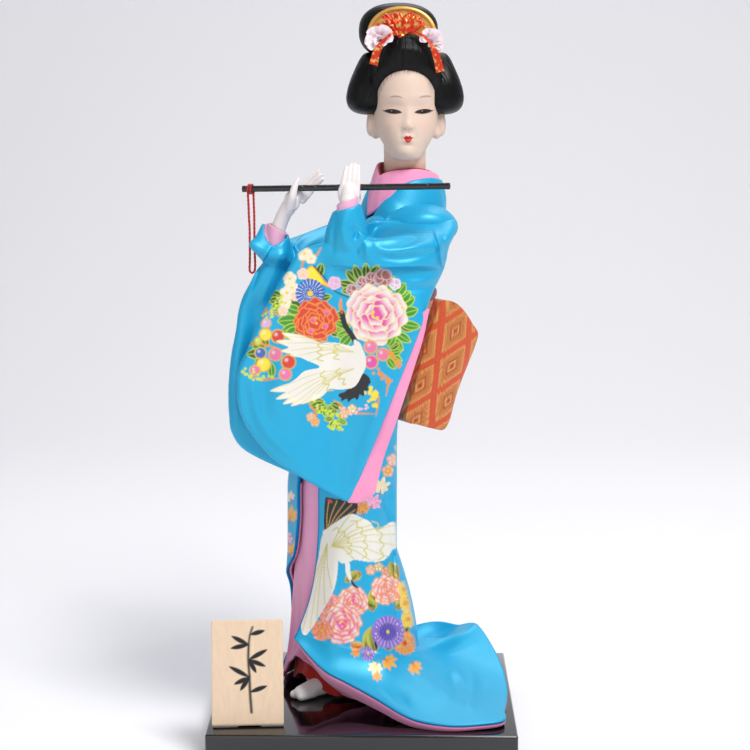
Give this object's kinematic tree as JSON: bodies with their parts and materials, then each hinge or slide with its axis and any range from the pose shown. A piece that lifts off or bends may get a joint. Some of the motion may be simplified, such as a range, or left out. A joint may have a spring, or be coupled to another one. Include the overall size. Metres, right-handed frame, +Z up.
{
  "type": "geisha doll",
  "caption": "Standing doll in a long-sleeved robe with a train, holding a flute, on a lacquered base with a small wooden sign; the head turns on its peg and the flute slides in the hands.",
  "frame": {"origin": "centre of the base board's underside", "axes": "+Z up, -Y towards the viewer at the base's front edge, +X to the viewer's right"},
  "size_m": [0.125, 0.11, 0.302],
  "materials": {
    "black_lacquer": "polished black lacquer",
    "bare_wood": "pale bare wood",
    "steel": "plain",
    "stuffing": "rough cloth",
    "sock_cloth": "matt white cotton",
    "face_skin": "satin skin, painted face",
    "white_skin": "satin white",
    "hair": "combed black fibre with a soft sheen",
    "gold": "bright gold",
    "red_foil": "crinkled red and gold foil cloth",
    "petals": "soft cloth",
    "turquoise_satin": "printed satin",
    "pink_cloth": "smooth pink cloth",
    "red_cloth": "smooth red cloth",
    "dark_red_cloth": "dark red crepe",
    "brocade": "orange brocade with gold lozenges",
    "dark_wood": "dark polished",
    "red_cord": "twisted cord"
  },
  "bodies": {
    "doll": {"base_board": "black_lacquer", "base_screw": "steel", "support_post": "bare_wood", "body_core": "stuffing", "neck_dowel": "bare_wood", "name_plaque": "bare_wood", "foot_left": "sock_cloth", "foot_right": "sock_cloth", "kimono_bodice": "turquoise_satin", "collar_trim": "red_cloth", "under_collar": "pink_cloth", "kimono_collar": "turquoise_satin", "obi_band": "brocade", "obi_scarf": "dark_red_cloth", "obi_bow": "brocade", "kimono_skirt": "turquoise_satin", "skirt_lining": "pink_cloth", "under_skirt": "pink_cloth", "red_skirt": "red_cloth", "sleeve_left": "turquoise_satin", "sleeve_right": "turquoise_satin", "sleeve_lining_left": "pink_cloth", "sleeve_lining_right": "pink_cloth", "cuff_left": "pink_cloth", "cuff_right": "pink_cloth", "arm_wire_left": "steel", "arm_wire_right": "steel", "hand_left": "white_skin", "hand_right": "white_skin"},
    "head": {"head": "face_skin", "hair_front": "hair", "hair_wing_left": "hair", "hair_wing_right": "hair", "hair_back": "hair", "hair_topknot": "hair", "comb": "gold", "foil_bow": "red_foil", "flower_left": "petals", "flower_right": "petals", "streamer_left": "red_foil", "streamer_right": "red_foil"},
    "flute": {"flute": "dark_wood", "flute_knot": "red_cord", "flute_cord": "red_cord"}
  },
  "joints": [
    {"name": "head_turn", "type": "hinge", "parent": "doll", "child": "head", "pos_m": [0.0174, 0.009, 0.223], "axis": [0, 0, 1], "range_deg": [-35, 35]},
    {"name": "flute_slide", "type": "slide", "parent": "doll", "child": "flute", "axis": [0.981, -0.1919, 0.0288], "range_m": [-0.03, 0]}
  ]
}
